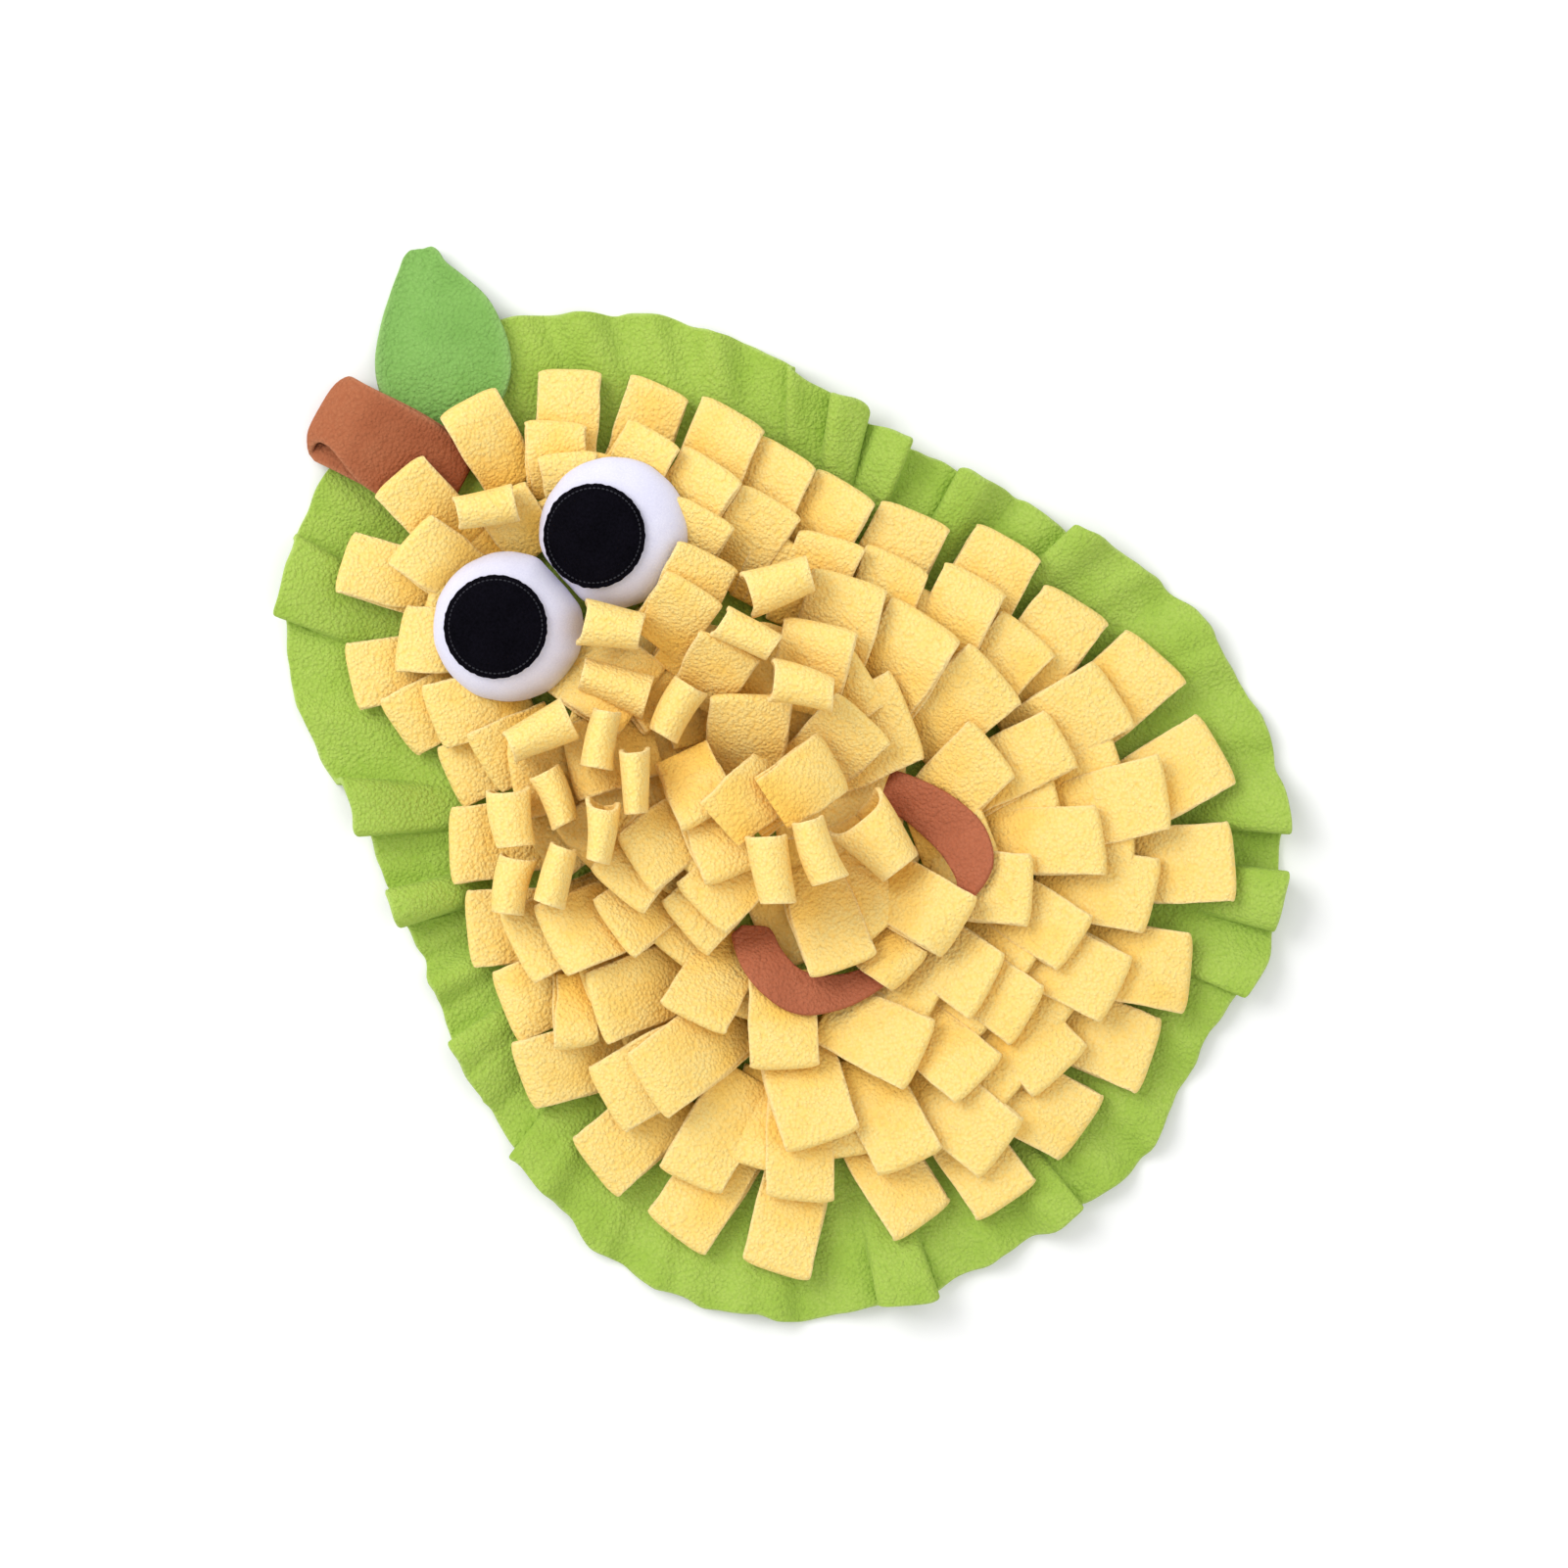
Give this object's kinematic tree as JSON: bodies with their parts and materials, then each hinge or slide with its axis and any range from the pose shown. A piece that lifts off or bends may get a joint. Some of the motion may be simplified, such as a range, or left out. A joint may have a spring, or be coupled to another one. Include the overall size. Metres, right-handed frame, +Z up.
{
  "type": "snuffle mat",
  "caption": "Pear-shaped fleece snuffle mat for a small pet, with rows of folded strips to hide treats in, stuffed eyes, a leaf and a stem.",
  "frame": {"origin": "on the floor under the middle of the whole mat's bounding box", "axes": "+X across the pear, +Y from its wide end to its stem and leaf, +Z up from the floor"},
  "size_m": [0.2694, 0.3547, 0.0407],
  "materials": {
    "lime_fleece": "matte",
    "butter_fleece": "matte",
    "bark_fleece": "matte",
    "leaf_felt": "matte",
    "lip_felt": "matte",
    "white_plush": "matte",
    "black_felt": "matte"
  },
  "bodies": {
    "root": {"base": "lime_fleece", "eye_left": "white_plush", "eye_right": "white_plush", "fourth_1": "butter_fleece", "fourth_2": "butter_fleece", "fourth_3": "butter_fleece", "inner_1": "butter_fleece", "inner_2": "butter_fleece", "inner_3": "butter_fleece", "inner_4": "butter_fleece", "inner_5": "butter_fleece", "inner_6": "butter_fleece", "leaf": "leaf_felt", "loops_left_1": "butter_fleece", "loops_left_2": "butter_fleece", "loops_left_3": "butter_fleece", "loops_left_4": "butter_fleece", "loops_mouth": "butter_fleece", "loops_nose": "butter_fleece", "loops_right_1": "butter_fleece", "loops_right_2": "butter_fleece", "loops_right_3": "butter_fleece", "loops_stem": "butter_fleece", "loops_top": "butter_fleece", "middle_1": "butter_fleece", "middle_2": "butter_fleece", "middle_3": "butter_fleece", "middle_4": "butter_fleece", "middle_5": "butter_fleece", "middle_6": "butter_fleece", "middle_7": "butter_fleece", "middle_8": "butter_fleece", "middle_9": "butter_fleece", "mouth": "lip_felt", "pupil_left": "black_felt", "pupil_right": "black_felt", "rim_1": "butter_fleece", "rim_10": "butter_fleece", "rim_2": "butter_fleece", "rim_4": "butter_fleece", "rim_6": "butter_fleece", "rim_8": "butter_fleece", "second_1": "butter_fleece", "second_10": "butter_fleece", "second_3": "butter_fleece", "second_5": "butter_fleece", "second_6": "butter_fleece", "second_7": "butter_fleece", "second_8": "butter_fleece", "second_9": "butter_fleece", "stem": "bark_fleece", "third_1": "butter_fleece", "third_2": "butter_fleece", "third_3": "butter_fleece", "third_4": "butter_fleece", "third_5": "butter_fleece", "third_6": "butter_fleece", "third_7": "butter_fleece", "third_8": "butter_fleece"}
  },
  "joints": []
}
